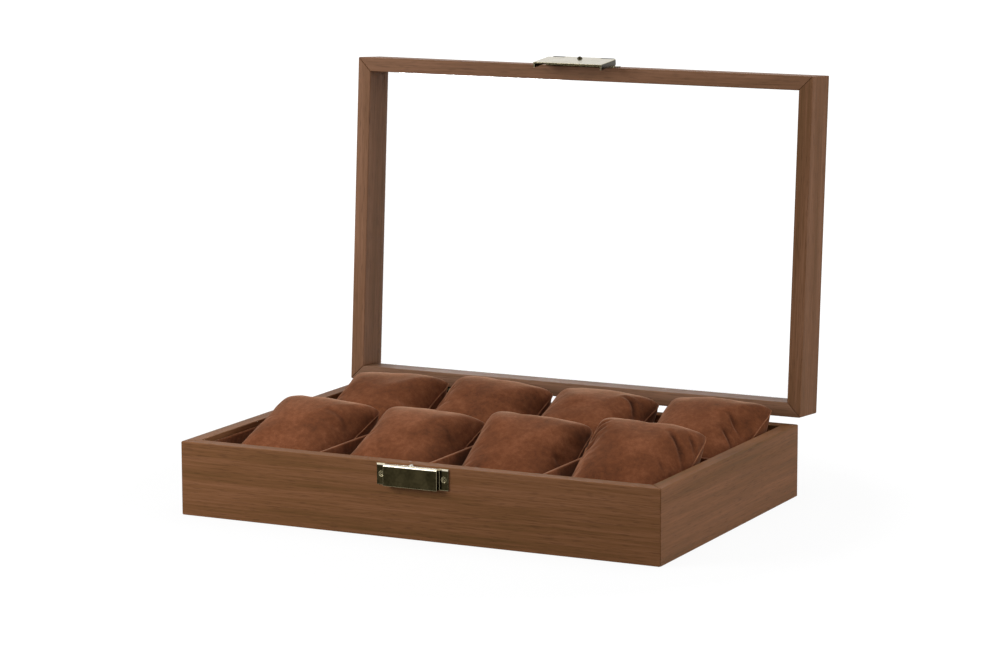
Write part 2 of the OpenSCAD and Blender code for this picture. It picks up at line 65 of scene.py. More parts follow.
# %% Camera
CAMERA_AIM = Vector((3.84, 1.55, 101.62)) * MM
CAMERA_AWAY = 2026.9 * MM
CAMERA_TURN = math.radians(26.294)
CAMERA_RISE = math.radians(9.604)
CAMERA_ROLL = math.radians(-0.115)
# Both in millimetres, as the camera takes them
FOCAL_LENGTH = 126.53
SENSOR_WIDTH = 36

lens = bpy.data.cameras.new("camera")
lens.lens = FOCAL_LENGTH
lens.sensor_width = SENSOR_WIDTH
camera = bpy.data.objects.new("camera", lens)
scene.collection.objects.link(camera)
scene.camera = camera
aimed = (
    Matrix.Rotation(CAMERA_TURN, 4, "Z")
    @ Matrix.Rotation(math.pi / 2 - CAMERA_RISE, 4, "X")
    @ Matrix.Rotation(CAMERA_ROLL, 4, "Z")
)
stand_off = Matrix.Translation((0, 0, CAMERA_AWAY))
camera.matrix_world = Matrix.Translation(CAMERA_AIM) @ aimed @ stand_off
print("camera at", tuple(round(c, 3) for c in camera.matrix_world.translation))

# %% [markdown]
# ## Helpers for materials
# Colours are chosen in sRGB, as a colour picker shows them, and the shaders want them linear.
# One function turns the one into the other, and one adds a node with its settings, values and links. Two
# more start a material and run a colour over three tones, which both the wood and the cloth need.

# %% Colour and node helpers
def srgb(hex_code):
    """A colour such as #7a5236 as the linear RGBA that a shader takes."""
    parts = [int(hex_code[i : i + 2], 16) / 255 for i in (1, 3, 5)]
    return [*(c / 12.92 if c <= 0.04045 else ((c + 0.055) / 1.055) ** 2.4 for c in parts), 1.0]


def add(tree, kind, inputs=None, **settings):
    """Adds a shader node, sets its properties, and fills its inputs with values or links."""
    node = tree.nodes.new("ShaderNode" + kind)
    for name, value in settings.items():
        setattr(node, name, value)
    for socket, value in (inputs or {}).items():
        if isinstance(value, bpy.types.NodeSocket):
            tree.links.new(value, node.inputs[socket])
        else:
            node.inputs[socket].default_value = value
    return node


def new_material(name, **values):
    """A material with one Principled shader whose sockets are set by name, and its tree and shader."""
    made = bpy.data.materials.new(name)
    made.use_nodes = True
    shader = made.node_tree.nodes["Principled BSDF"]
    for socket, value in values.items():
        shader.inputs[socket.replace("_", " ")].default_value = value
    return made, made.node_tree, shader


def three_tones(tree, share, tones):
    """A colour that runs from the first tone over the second to the third as share goes from 0 to 1."""
    ramp = add(tree, "ValToRGB", {"Fac": share})
    ramp.color_ramp.elements[0].color = srgb(tones[0])
    ramp.color_ramp.elements[1].color = srgb(tones[2])
    ramp.color_ramp.elements.new(0.5).color = srgb(tones[1])
    return ramp.outputs[0]


# %% [markdown]
# ## Light
# The box stands on a white table in a white tent. The tent is the world: rays that look at it straight,
# through glass or by reflection see pure white, and the light that it throws on the box is weaker.
# A small soft lamp at the front left models the cushions, a big one overhead lights the open tray, and
# one at the right opens the shadows.

# %% World and lamps
TENT_LIGHT = 0.3
# A little over 1, so that the tent is still pure white behind the glass, which takes 8 % of it
TENT_SHOWN = 1.09
KEY_AT, KEY_SIZE, KEY_POWER = Vector((-0.55, -0.6, 0.42)), 0.4, 5.7
TOP_AT, TOP_SIZE, TOP_POWER = Vector((0.15, 0.35, 1.3)), 1.0, 6.3
SIDE_AT, SIDE_SIZE, SIDE_POWER = Vector((1.2, -0.05, 0.35)), 0.6, 5.5
LAMPS_AIM = Vector((0, 0, 0.05))
WHITE = "#ffffff"


def sees_background(tree):
    """1 for rays from the camera, a reflection or glass, and 0 for light that bounces softly."""
    ray = add(tree, "LightPath").outputs
    shiny = add(tree, "Math", {0: ray["Is Glossy Ray"], 1: ray["Is Transmission Ray"]}, operation="MAXIMUM")
    seen = add(tree, "Math", {0: ray["Is Camera Ray"], 1: shiny.outputs[0]}, operation="MAXIMUM")
    return seen.outputs[0]


world = bpy.data.worlds.new("tent")
scene.world = world
world.use_nodes = True
background = world.node_tree.nodes["Background"]
background.inputs["Color"].default_value = srgb(WHITE)
tent_tree = world.node_tree
strength = add(tent_tree, "MapRange", {"Value": sees_background(tent_tree), "To Min": TENT_LIGHT,
                                       "To Max": TENT_SHOWN})
tent_tree.links.new(strength.outputs[0], background.inputs["Strength"])


def soft_lamp(name, place, size, power):
    """A square lamp that points at the cushions."""
    lamp = bpy.data.lights.new(name, "AREA")
    lamp.size = size
    lamp.energy = power
    holder = bpy.data.objects.new(name, lamp)
    scene.collection.objects.link(holder)
    holder.location = place
    holder.rotation_euler = (LAMPS_AIM - place).to_track_quat("-Z", "Y").to_euler()


soft_lamp("key_lamp", KEY_AT, KEY_SIZE, KEY_POWER)
soft_lamp("top_lamp", TOP_AT, TOP_SIZE, TOP_POWER)
soft_lamp("side_lamp", SIDE_AT, SIDE_SIZE, SIDE_POWER)
scene.view_settings.view_transform = "Standard"
print("three soft lamps of", KEY_POWER, TOP_POWER, "and", SIDE_POWER, "W")

# %% [markdown]
# The table is one big disc. Part of its white is its own paint, which takes the box's soft shadow,
# and part is a glow for the same rays that see the white world. The glow takes over away from the box,
# so that table and tent run together. The paint itself is pale grey, so that it throws little light up.
# From below it lets everything through, so that the underside can be looked at.

# %% Table
TABLE_REACH = 30.0
# The table lies a hair under the felt, so that the two never share one plane
TABLE_DROP = 0.2 * MM
TABLE_PAINT = "#a0a0a0"
# The glow's share of the white near the box, its strength, and where it starts and has taken over
TABLE_GLOW = 0.8
GLOW_SHOWN = 1.15
GLOW_FROM, GLOW_TO = 0.22, 0.45

disc = bmesh.new()
bmesh.ops.create_circle(disc, cap_ends=True, segments=64, radius=TABLE_REACH)
bmesh.ops.translate(disc, verts=disc.verts, vec=(0, 0, -TABLE_DROP))
table_mesh = bpy.data.meshes.new("table")
disc.to_mesh(table_mesh)
disc.free()
table = bpy.data.objects.new("table", table_mesh)
scene.collection.objects.link(table)

paint, tree, shader = new_material("matt_pale_table", Roughness=1.0)
shader.inputs["Base Color"].default_value = srgb(TABLE_PAINT)
glow = add(tree, "Emission", {"Color": srgb(WHITE), "Strength": GLOW_SHOWN})
place = add(tree, "TexCoord").outputs["Object"]
away = add(tree, "VectorMath", {0: place}, operation="LENGTH").outputs["Value"]
taken = add(tree, "MapRange", {"Value": away, "From Min": GLOW_FROM, "From Max": GLOW_TO,
                               "To Min": TABLE_GLOW})
share = add(tree, "Math", {0: sees_background(tree), 1: taken.outputs[0]}, operation="MULTIPLY")
top_side = add(tree, "MixShader", {0: share.outputs[0], 1: shader.outputs[0], 2: glow.outputs[0]})
from_below = add(tree, "NewGeometry").outputs["Backfacing"]
clear = add(tree, "BsdfTransparent")
both_sides = add(tree, "MixShader", {0: from_below, 1: top_side.outputs[0], 2: clear.outputs[0]})
tree.links.new(both_sides.outputs[0], tree.nodes["Material Output"].inputs["Surface"])
table_mesh.materials.append(paint)
print("table is", 2 * TABLE_REACH, "m across")

# %% [markdown]
# ## Veneer
# Satin walnut-look veneer is a thin printed or sliced sheet with straight grain: slow bands of darker and
# lighter wood, fine streaks, and short open pores. All three are noise that is stretched along the grain.
# A Mapping node of the Texture kind takes the turn of the grain and the real size of a feature, so each
# board gets its own: the grain follows the board's length, and an offset keeps two boards from matching.

# %% Veneer material
ACROSS_BOX = Vector((1, 0, 0))
FRONT_TO_BACK = Vector((0, 1, 0))
LID_LEAN = math.radians(3.9)
UP_THE_LID = Vector((0, math.sin(LID_LEAN), math.cos(LID_LEAN)))
# Length and width, the noise's detail, and the noise values that count as none and as full
BANDS = ((240 * MM, 10 * MM), 2.0, 0.36, 0.64)
STREAKS = ((42 * MM, 1.0 * MM), 3.0, 0.3, 0.7)
# Real pores are about 0.2 mm wide; these are drawn wide enough to show from two metres
PORES = ((9 * MM, 0.6 * MM), 1.0, 0.56, 0.7)
STREAK_SHARE = 0.55
PORE_SHARE = 0.3
PORE_BROWN = "#2e1c10"
PORE_DEPTH = 0.04 * MM
WAVE_SIZE = 160 * MM
WAVE_HEIGHT = 3 * MM
SATIN_ROUGH = (0.46, 0.56)
SATIN_GLOSS = 0.08
BASE_TONES = ("#614325", "#734d30", "#845a3e")
# The lid rails are the same veneer as the base; their lighter, greyer tones are painted light
LID_PAINTED_LIGHT_TONES = ("#65482f", "#77543c", "#89644c")


def veneer(name, along, shift, tones, gloss):
    """Satin veneer with its grain along a direction; tones are its dark, middle and light browns."""
    made, tree, shader = new_material(name, Roughness=0.5, Specular_IOR_Level=gloss)
    place = add(tree, "TexCoord").outputs["Object"]
    wave = add(tree, "TexNoise", {"Vector": place, "Scale": 1 / WAVE_SIZE, "Detail": 1.0})
    sway = add(tree, "VectorMath", {0: wave.outputs["Color"], 1: (WAVE_HEIGHT,) * 3}, operation="MULTIPLY")
    bent = add(tree, "VectorMath", {0: place, 1: sway.outputs[0]}, operation="ADD").outputs[0]
    turn = along.to_track_quat("X", "Z").to_euler()

    def grain(size, detail, low, high):
        """Noise with features as long and as wide as size, spread between 0 and 1 from low to high."""
        laid = add(tree, "Mapping", {"Vector": bent, "Location": shift, "Rotation": turn,
                                     "Scale": (size[0], size[1], size[1])}, vector_type="TEXTURE")
        drawn = add(tree, "TexNoise", {"Vector": laid.outputs[0], "Scale": 1.0, "Detail": detail,
                                       "Roughness": 0.55}).outputs[0]
        return add(tree, "MapRange", {"Value": drawn, "From Min": low, "From Max": high}).outputs[0]

    bands, streaks, pores = grain(*BANDS), grain(*STREAKS), grain(*PORES)
    tone = add(tree, "Mix", {0: STREAK_SHARE, 2: bands, 3: streaks}).outputs[0]
    brown = three_tones(tree, tone, tones)
    dark_pores = add(tree, "Math", {0: pores, 1: PORE_SHARE}, operation="MULTIPLY").outputs[0]
    stained = add(tree, "Mix", {0: dark_pores, 6: brown, 7: srgb(PORE_BROWN)}, data_type="RGBA")
    tree.links.new(stained.outputs[2], shader.inputs["Base Color"])
    satin = add(tree, "MapRange", {"Value": streaks, "To Min": SATIN_ROUGH[0], "To Max": SATIN_ROUGH[1]})
    tree.links.new(satin.outputs[0], shader.inputs["Roughness"])
    open_grain = add(tree, "Bump", {"Height": pores, "Distance": PORE_DEPTH, "Strength": 0.6}, invert=True)
    tree.links.new(open_grain.outputs[0], shader.inputs["Normal"])
    return made


# %% [markdown]
# ## Microsuede
# The cushions and the lining wear microsuede: a knit with a very short brushed pile. Its nap lies one way
# or the other where it was touched, which gives soft lighter and darker patches, and the fibre tips shine
# where the cloth turns away from the eye. Noise at three sizes draws the patches, the mottle and the pile,
# and the shader's sheen gives the shining rim.

# %% Microsuede material
NAP_PATCH = 24 * MM
NAP_MOTTLE = 3.0 * MM
# Real pile is about 0.1 mm thick; it is drawn as coarse as the picture can show
PILE = 0.7 * MM
MOTTLE_DEPTH = 0.35 * MM
PILE_DEPTH = 0.12 * MM
MOTTLE_SHARE = 0.42
PILE_SHADE = (0.86, 1.1)
SUEDE_TONES = ("#55301c", "#6b3d24", "#804d32")
FIBRE_TIPS = "#f0c4a2"
# Painted shade along the valley of a fold
FOLD_SHADE_COLOUR = "#2c140b"


def microsuede(name, shift, tones=SUEDE_TONES):
    """Brushed cloth; tones are the nap lying away, lying flat and lying towards the light."""
    made, tree, shader = new_material(name, Roughness=0.9, Specular_IOR_Level=0.1, Sheen_Weight=0.6,
                                      Sheen_Roughness=0.3)
    shader.inputs["Sheen Tint"].default_value = srgb(FIBRE_TIPS)
    here = add(tree, "TexCoord").outputs["Object"]
    place = add(tree, "VectorMath", {0: here, 1: shift}, operation="ADD").outputs[0]
    patches = add(tree, "TexNoise", {"Vector": place, "Scale": 1 / NAP_PATCH, "Detail": 3.0,
                                     "Distortion": 0.6}).outputs[0]
    mottle = add(tree, "TexNoise", {"Vector": place, "Scale": 1 / NAP_MOTTLE, "Detail": 3.0,
                                    "Roughness": 0.65}).outputs[0]
    pile = add(tree, "TexNoise", {"Vector": place, "Scale": 1 / PILE, "Detail": 2.0}).outputs[0]
    soft = add(tree, "Mix", {0: MOTTLE_SHARE, 2: patches, 3: mottle}).outputs[0]
    lie = add(tree, "MapRange", {"Value": soft, "From Min": 0.34, "From Max": 0.66}).outputs[0]
    brown = three_tones(tree, lie, tones)
    speck = add(tree, "MapRange", {"Value": pile, "From Min": 0.3, "From Max": 0.7,
                                   "To Min": PILE_SHADE[0], "To Max": PILE_SHADE[1]}).outputs[0]
    cloth = add(tree, "VectorMath", {0: brown, 1: speck}, operation="MULTIPLY").outputs[0]
    # Painted shade in the folds' valleys, read from an attribute on the cover
    pressed = add(tree, "Attribute", attribute_name="pressed").outputs["Fac"]
    shade = add(tree, "Mix", {0: pressed, 6: cloth, 7: srgb(FOLD_SHADE_COLOUR)}, data_type="RGBA")
    tree.links.new(shade.outputs[2], shader.inputs["Base Color"])
    raised = add(tree, "Bump", {"Height": mottle, "Distance": MOTTLE_DEPTH, "Strength": 0.35}).outputs[0]
    fuzz = add(tree, "Bump", {"Height": pile, "Distance": PILE_DEPTH, "Strength": 0.5, "Normal": raised})
    tree.links.new(fuzz.outputs[0], shader.inputs["Normal"])
    return made


# %% [markdown]
# ## Metals
# The catch, the hasp and the hinges are stamped brass that was plated, browned and lacquered, so it is a
# dark mirror whose bent edges are rubbed back to pale brass; that pale edge is also a painted highlight.
# The screws, pins and the plunger are plated steel. Handling leaves faint clouds in the gloss, which a
# noise in the roughness shows.

# %% Metal materials
CLOUD = 9 * MM
RUB = 1.6 * MM
RUB_SHARE = 0.35
# Half the width of the line between browned brass and its painted glint
GLINT_EDGE = 0.12 * MM
# Dark and light colour, low and high roughness
BROWNED = ("#211d10", "#3a3422", 0.14, 0.26)


def polished_metal(name, low_colour, high_colour, low_rough, high_rough, bare=None):
    """A metal whose colour and gloss drift in soft clouds with a finer rub in them.

    glint is a direction, a height and a colour: what lies further that way is painted that colour,
    as a painted highlight.
    """
    made, tree, shader = new_material(name, Metallic=1.0)
    place = add(tree, "TexCoord").outputs["Object"]
    clouds = add(tree, "TexNoise", {"Vector": place, "Scale": 1 / CLOUD, "Detail": 3.0,
                                    "Distortion": 0.8}).outputs[0]
    rub = add(tree, "TexNoise", {"Vector": place, "Scale": 1 / RUB, "Detail": 2.0}).outputs[0]
    worn = add(tree, "Mix", {0: RUB_SHARE, 2: clouds, 3: rub}).outputs[0]
    share = add(tree, "MapRange", {"Value": worn, "From Min": 0.35, "From Max": 0.65}).outputs[0]
    colour = add(tree, "Mix", {0: share, 6: srgb(low_colour), 7: srgb(high_colour)}, data_type="RGBA")
    gloss = add(tree, "MapRange", {"Value": share, "To Min": low_rough, "To Max": high_rough})
    skin = colour.outputs[2]
    # A painted highlight: the part beyond a height in one direction is painted the pale colour
    if bare:
        facing, height, pale = bare
        reach = add(tree, "VectorMath", {0: place, 1: facing}, operation="DOT_PRODUCT").outputs["Value"]
        glinting = add(tree, "MapRange", {"Value": reach, "From Min": height - GLINT_EDGE,
                                        "From Max": height + GLINT_EDGE}).outputs[0]
        skin = add(tree, "Mix", {0: glinting, 6: skin, 7: srgb(pale)}, data_type="RGBA").outputs[2]
    tree.links.new(skin, shader.inputs["Base Color"])
    tree.links.new(gloss.outputs[0], shader.inputs["Roughness"])
    return made


browned_brass = polished_metal("browned_lacquered_brass", *BROWNED)
# Paler brass for the bevelled edges: rubbed wear, and a painted highlight along each edge
worn_edge_and_highlight_brass = polished_metal("rubbed_pale_brass", "#8d8368", "#b3a988", 0.2, 0.32)
plated_steel = polished_metal("plated_steel", "#8f8b82", "#b4b0a6", 0.22, 0.34)

# %% [markdown]
# ## Glass, felt and board
# Float glass is clear and nearly perfectly smooth; a trace of haze keeps its reflection from being ideal.
# The underside is black needled felt, which is all fibre and no gloss, and the bottom is plain fibreboard.

# %% Glass, felt and board materials
HAZE = 40 * MM
FELT_FIBRE = 1.2 * MM
BOARD_FLECK = 0.9 * MM
HAZE_ROUGH = 0.015
GLASS_TINT = "#fdfefe"

float_glass, tree, shader = new_material("float_glass", Transmission_Weight=1.0, IOR=1.52)
shader.inputs["Base Color"].default_value = srgb(GLASS_TINT)
place = add(tree, "TexCoord").outputs["Object"]
haze = add(tree, "TexNoise", {"Vector": place, "Scale": 1 / HAZE}).outputs[0]
smear = add(tree, "MapRange", {"Value": haze, "From Min": 0.5, "From Max": 0.8, "To Max": HAZE_ROUGH})
tree.links.new(smear.outputs[0], shader.inputs["Roughness"])


def fibrous(name, size, low_colour, high_colour, depth):
    """A dull surface of short fibres or flecks between two colours."""
    made, tree, shader = new_material(name, Roughness=0.95, Specular_IOR_Level=0.2)
    place = add(tree, "TexCoord").outputs["Object"]
    fibre = add(tree, "TexNoise", {"Vector": place, "Scale": 1 / size, "Detail": 4.0, "Distortion": 1.5})
    share = add(tree, "MapRange", {"Value": fibre.outputs[0], "From Min": 0.3, "From Max": 0.7}).outputs[0]
    colour = add(tree, "Mix", {0: share, 6: srgb(low_colour), 7: srgb(high_colour)}, data_type="RGBA")
    tree.links.new(colour.outputs[2], shader.inputs["Base Color"])
    rough = add(tree, "Bump", {"Height": share, "Distance": depth, "Strength": 0.7})
    tree.links.new(rough.outputs[0], shader.inputs["Normal"])
    return made


needled_felt = fibrous("black_needled_felt", FELT_FIBRE, "#0e0c0b", "#26221f", 0.3 * MM)
fibreboard = fibrous("fibreboard", BOARD_FLECK, "#6b4e36", "#83654a", 0.05 * MM)
print(len(bpy.data.materials), "materials so far")

# %% [markdown]
# ## Finishing the rigid pieces
# A imported node is a loose bag of triangles with knife-sharp edges. A Weld modifier joins them, a planar
# Decimate turns the flats back into whole faces, and a Bevel rounds each real edge, so that it catches
# light. The bevel can give its own faces another material, which draws the rubbed edge of the brass and
# a painted highlight along it.

# %% Rounded edges
EDGE_ANGLE = math.radians(38)
FLAT_ANGLE = math.radians(0.5)
WELD_REACH = 0.01 * MM
# How far a board's big faces outweigh its bevels where their shading meets
FLAT_WEIGHT = 90


def finish(name, materials, edge=0.0, segments=3, edge_material=-1):
    """Gives a node its materials and, where edge is not 0, edges rounded by that much."""
    piece = nodes[name]
    piece.data.materials.clear()
    for made in materials:
        piece.data.materials.append(made)
    if edge:
        piece.modifiers.new("weld", "WELD").merge_threshold = WELD_REACH
        flats = piece.modifiers.new("flats", "DECIMATE")
        flats.decimate_type = "DISSOLVE"
        flats.angle_limit = FLAT_ANGLE
        rounded = piece.modifiers.new("edges", "BEVEL")
        rounded.width = edge
        rounded.segments = segments
        rounded.limit_method = "ANGLE"
        rounded.angle_limit = EDGE_ANGLE
        rounded.use_clamp_overlap = False
        rounded.material = edge_material
        piece.modifiers.new("normals", "WEIGHTED_NORMAL").weight = FLAT_WEIGHT


# %% [markdown]
# Each board is sawn from its own stretch of veneer, so each gets its own material with its own shift.

# %% Wooden pieces
BOARD_EDGE = 0.55 * MM
GRAIN_OF = {
    "base_front_panel": ACROSS_BOX,
    "base_rear_panel": ACROSS_BOX,
    "base_left_panel": FRONT_TO_BACK,
    "base_right_panel": FRONT_TO_BACK,
    "lid_front_rail": ACROSS_BOX,
    "lid_rear_rail": ACROSS_BOX,
    "lid_left_rail": UP_THE_LID,
    "lid_right_rail": UP_THE_LID,
}
# The rail that stands behind the cushions is lacquered most, and mirrors the tent at a low angle
GLOSS_OF = {
    "base_front_panel": 0.06,
    "base_right_panel": 0.05,
    "lid_rear_rail": 0.22,
    "lid_right_rail": 0.02,
}
# In metres, and far more than the size of any pattern
NEXT_SHEET = (0.37, 0.11, 0.07)

for number, (name, along) in enumerate(GRAIN_OF.items()):
    tones = LID_PAINTED_LIGHT_TONES if name.startswith("lid_") else BASE_TONES
    shift = tuple(step * number for step in NEXT_SHEET)
    wood = veneer("veneer_" + name, along, shift, tones, GLOSS_OF.get(name, SATIN_GLOSS))
    finish(name, [wood], BOARD_EDGE)
finish("base_bottom_panel", [fibreboard])
finish("underside_felt", [needled_felt])
finish("lid_glass", [float_glass])
print(len(GRAIN_OF), "boards have their grain")

# %% [markdown]
# The lining is board wrapped in microsuede. Wrapped edges are rounder than sawn ones, and the cloth on a
# sharp turn shows its tips, which reads as a light line over the dark gap.

# %% Lining
LINING_EDGE = 0.8 * MM
LINING = ["floor_liner", "front_liner", "rear_liner", "left_liner", "right_liner", "row_divider",
          "left_divider", "middle_divider", "right_divider"]

lining_cloth = microsuede("microsuede_lining", (0.4, 0.1, 0.2))
for name in LINING:
    finish(name, [lining_cloth], LINING_EDGE)
print(len(LINING), "lining boards are wrapped")

# %% [markdown]
# Two pieces get a painted glint beyond their edges. The top of the catch's case and the flap's outer face
# are painted pale brass, as painted reflections of the light from above. Each painted place is all that
# lies further than a height in one direction.

# %% Painted glints on the brass
# How far down the catch's top the painted glint reaches, and the pale colours of the two painted
# reflections
CATCH_GLINT_BAND = 1.1 * MM
CATCH_TOP_GLINT = "#d6cdb8"
FLAP_FACE_GLINT = "#aca389"
# How the flap's face leans in the open lid, and how far it stands off its pin
FLAP_LEAN = math.radians(4.1)
FLAP_OUT = 2.0 * MM

catch_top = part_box("catch_case")[1].z
pin_low, pin_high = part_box("hasp_pin")
flap_up = Vector((0, -math.sin(FLAP_LEAN), math.cos(FLAP_LEAN)))
flap_face = flap_up.dot((pin_low + pin_high) / 2) + FLAP_OUT
painted_glints = {
    "catch_case": ((0, 0, 1), catch_top - CATCH_GLINT_BAND, CATCH_TOP_GLINT),
    "hasp_flap": (flap_up, flap_face, FLAP_FACE_GLINT),
}
# What the print calls worn is a painted glint on each piece
print(len(painted_glints), "pieces are worn beyond their edges")

# %% [markdown]
# Sheet metal that was stamped and bent has a small round at each edge, and there the browning is rubbed
# off; the paler brass there is also a painted highlight. Turned steel only loses its sharpness.

# %% Metal pieces
SHEET_EDGE = 0.16 * MM
STEEL_EDGE = 0.12 * MM
SHEET_METAL = ["catch_case", "hasp_plate", "hasp_flap", "left_hinge_base_leaf", "left_hinge_lid_leaf",
               "right_hinge_base_leaf", "right_hinge_lid_leaf"]
TURNED_STEEL = ["hasp_pin", "left_hinge_pin", "right_hinge_pin"]
SMALL_STEEL = ["catch_plunger", "hinge_base_screws", "hinge_lid_screws"]
BROWN_SCREWS = ["catch_screws", "hasp_screws"]

for name in SHEET_METAL:
    skin = browned_brass
    if name in painted_glints:
        skin = polished_metal("glint_brass_" + name, *BROWNED, bare=painted_glints[name])
    finish(name, [skin, worn_edge_and_highlight_brass], SHEET_EDGE, segments=2, edge_material=1)
finish("hasp_stud", [browned_brass])
for name in TURNED_STEEL:
    finish(name, [plated_steel], STEEL_EDGE, segments=2)
for name in SMALL_STEEL:
    finish(name, [plated_steel])
for name in BROWN_SCREWS:
    finish(name, [browned_brass, worn_edge_and_highlight_brass], STEEL_EDGE, segments=2, edge_material=1)
print(len(SHEET_METAL + TURNED_STEEL + SMALL_STEEL + BROWN_SCREWS) + 1, "metal pieces are finished")

# %% [markdown]
# The catch's spring is squeezed when the plunger goes down. A merged copy of it takes the place of
# the solid and rides on the base.

# %% Spring
SAME_POINT = 0.001 * MM

coil = bmesh.new()
coil.from_mesh(nodes["catch_spring"].data)
bmesh.ops.remove_doubles(coil, verts=coil.verts, dist=SAME_POINT)
bmesh.ops.recalc_face_normals(coil, faces=coil.faces)
coil_mesh = bpy.data.meshes.new("coil_spring")
coil.to_mesh(coil_mesh)
coil.free()
coil_mesh.materials.clear()
coil_mesh.materials.append(plated_steel)
coil_mesh.polygons.foreach_set("use_smooth", [True] * len(coil_mesh.polygons))
spring = bpy.data.objects.new("coil_spring", coil_mesh)
scene.collection.objects.link(spring)
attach(spring, "base")
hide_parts("catch_spring")
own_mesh(spring)

# %% [markdown]
# ## Cushions
# A watch cushion is cut to fill its cell from side to side, and lies in it at a slope. So the cell comes
# first, measured on the lining that is there already.

# %% The cell that a cushion lies in
COLUMNS, ROWS = 4, 2
cell_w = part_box("left_divider")[0].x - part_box("left_liner")[1].x
cell_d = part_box("row_divider")[0].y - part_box("front_liner")[1].y
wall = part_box("left_divider")[1].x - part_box("left_divider")[0].x
lining_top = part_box("row_divider")[1].z
floor_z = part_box("floor_liner")[1].z


def cell_centre(row, column):
    """The middle of a cell on the tray's floor plan."""
    x = (column - (COLUMNS - 1) / 2) * (cell_w + wall)
    y = (row - (ROWS - 1) / 2) * (cell_d + wall)
    return Vector((x, y, 0))


print(f"a cell is {cell_w / MM:.1f} by {cell_d / MM:.1f} mm")

# %% [markdown]
# The cushion is a bag of two panels, sewn all round and stuffed. The upper panel is crowned, the lower one
# is a deep belly that fills the cell, and the seam runs round the middle, with its corners pulled down into
# small ears. Two square grids, one for each panel, are moved onto that form and joined at the seam. Each
# vertex keeps its place on the cloth in two attributes, so that folds and the seam can be found later.

# %% The form of a cushion
CUSHION_LEN = 89 * MM
SIDE_SPACE = 0.6 * MM
CROWN = 13.5 * MM
BELLY = 38 * MM
EAR_DROP = 2 * MM
# The higher, the squarer the seam's corners
CORNER_POWER = 16
# How early the panel falls from its crown, and how steep it meets the seam
SWELL_POWER = 2.3
SWELL_ROUND = 0.85
GRID = (32, 44)


def cloth_point(across, along, upper):
    """Where a point of the panel lies, from its place on the cloth, -1 to 1 each way."""
    reach = max(abs(across), abs(along))
    if reach == 0:
        return Vector((0, 0, CROWN if upper else -BELLY))
    turn = math.atan2(along, across)
    c, s = abs(math.cos(turn)), abs(math.sin(turn))
    r = (c**CORNER_POWER + s**CORNER_POWER) ** (-1 / CORNER_POWER)
    x, y = r * math.cos(turn), r * math.sin(turn)
    swell = max(0.0, 1 - reach**SWELL_POWER) ** SWELL_ROUND
    ear = EAR_DROP * (abs(x * y) * reach * reach) ** 3
    height = (CROWN if upper else -BELLY) * swell - ear
    return Vector((x * reach * (cell_w / 2 - SIDE_SPACE), y * reach * CUSHION_LEN / 2, height))


def sewn_bag():
    """Two panels joined at the seam, with each vertex's place on the cloth in across and along."""
    bag = bmesh.new()
    across = bag.verts.layers.float.new("across")
    along = bag.verts.layers.float.new("along")
    for upper in (True, False):
        panel = bmesh.ops.create_grid(bag, x_segments=GRID[0], y_segments=GRID[1], size=1)
        for vert in panel["verts"]:
            vert[across], vert[along] = vert.co.x, vert.co.y
            vert.co = cloth_point(vert.co.x, vert.co.y, upper)
    bmesh.ops.remove_doubles(bag, verts=bag.verts, dist=SAME_POINT)
    bmesh.ops.recalc_face_normals(bag, faces=bag.faces)
    return bag


# %% [markdown]
# Each cushion lies a little differently, tilted up towards the back with its free end in the cell. The
# cloth can't pass through the lining, so every point is held inside the cell. Above the lining, the far end
# and the sides may swell a little over it.

# %% How each cushion lies
# Shift right and back and rise in millimetres; slope, lean and turn in degrees
LIE = {
    "front": [
        (0.6, 4.0, -1.0, 20.5, 1.5, -1),
        (0.3, 3.5, -2.8, 22, 2, 0),
        (0.3, 4.5, -3.8, 28, 4.5, 3),
        (0.3, 4.0, -1.5, 28, 6, 3),
    ],
    "rear": [
        (0.3, 4.5, -2.0, 22.5, -1, 1),
        (0.3, 4.0, -1.2, 24, 4, 0),
        (-0.6, 3.0, 0.8, 18.5, 1.5, 0),
        (0.6, 5.0, -0.6, 22.5, 0, 0),
    ],
}
SEAM_DROP = 1.5 * MM
CELL_GAP = 0.45 * MM
# From how far above the lining the cushion may stand over it, in what stretch, and how far, gap included
BACK_RISE, BACK_EASE, BACK_OVER = 11 * MM, 3 * MM, 1.9 * MM
SIDE_RISE, SIDE_EASE, SIDE_OVER = 2 * MM, 2 * MM, 1.3 * MM


def lay(bag, row, column):
    """Tilts and turns a bag and puts it in its cell."""
    right, back, rise, slope, lean, turn = LIE[("front", "rear")[row]][column]
    middle = cell_centre(row, column) + Vector((right * MM, back * MM, lining_top - SEAM_DROP + rise * MM))
    placed = (
        Matrix.Translation(middle)
        @ Matrix.Rotation(math.radians(turn), 4, "Z")
        @ Matrix.Rotation(math.radians(slope), 4, "X")
        @ Matrix.Rotation(math.radians(lean), 4, "Y")
    )
    bmesh.ops.transform(bag, matrix=placed, verts=bag.verts)


def hold(point, row, column):
    """The nearest place inside the cell, or a little over its edges once the point is above them."""
    centre = cell_centre(row, column)
    above = point.z - lining_top
    over = min(max((above - BACK_RISE) / BACK_EASE, 0), 1) * BACK_OVER
    beside = min(max((above - SIDE_RISE) / SIDE_EASE, 0), 1) * SIDE_OVER
    side, back = cell_w / 2 - CELL_GAP + beside, cell_d / 2 - CELL_GAP
    x = min(max(point.x - centre.x, -side), side)
    y = min(max(point.y - centre.y, -back), back + over)
    return Vector((centre.x + x, centre.y + y, max(point.z, floor_z + CELL_GAP)))


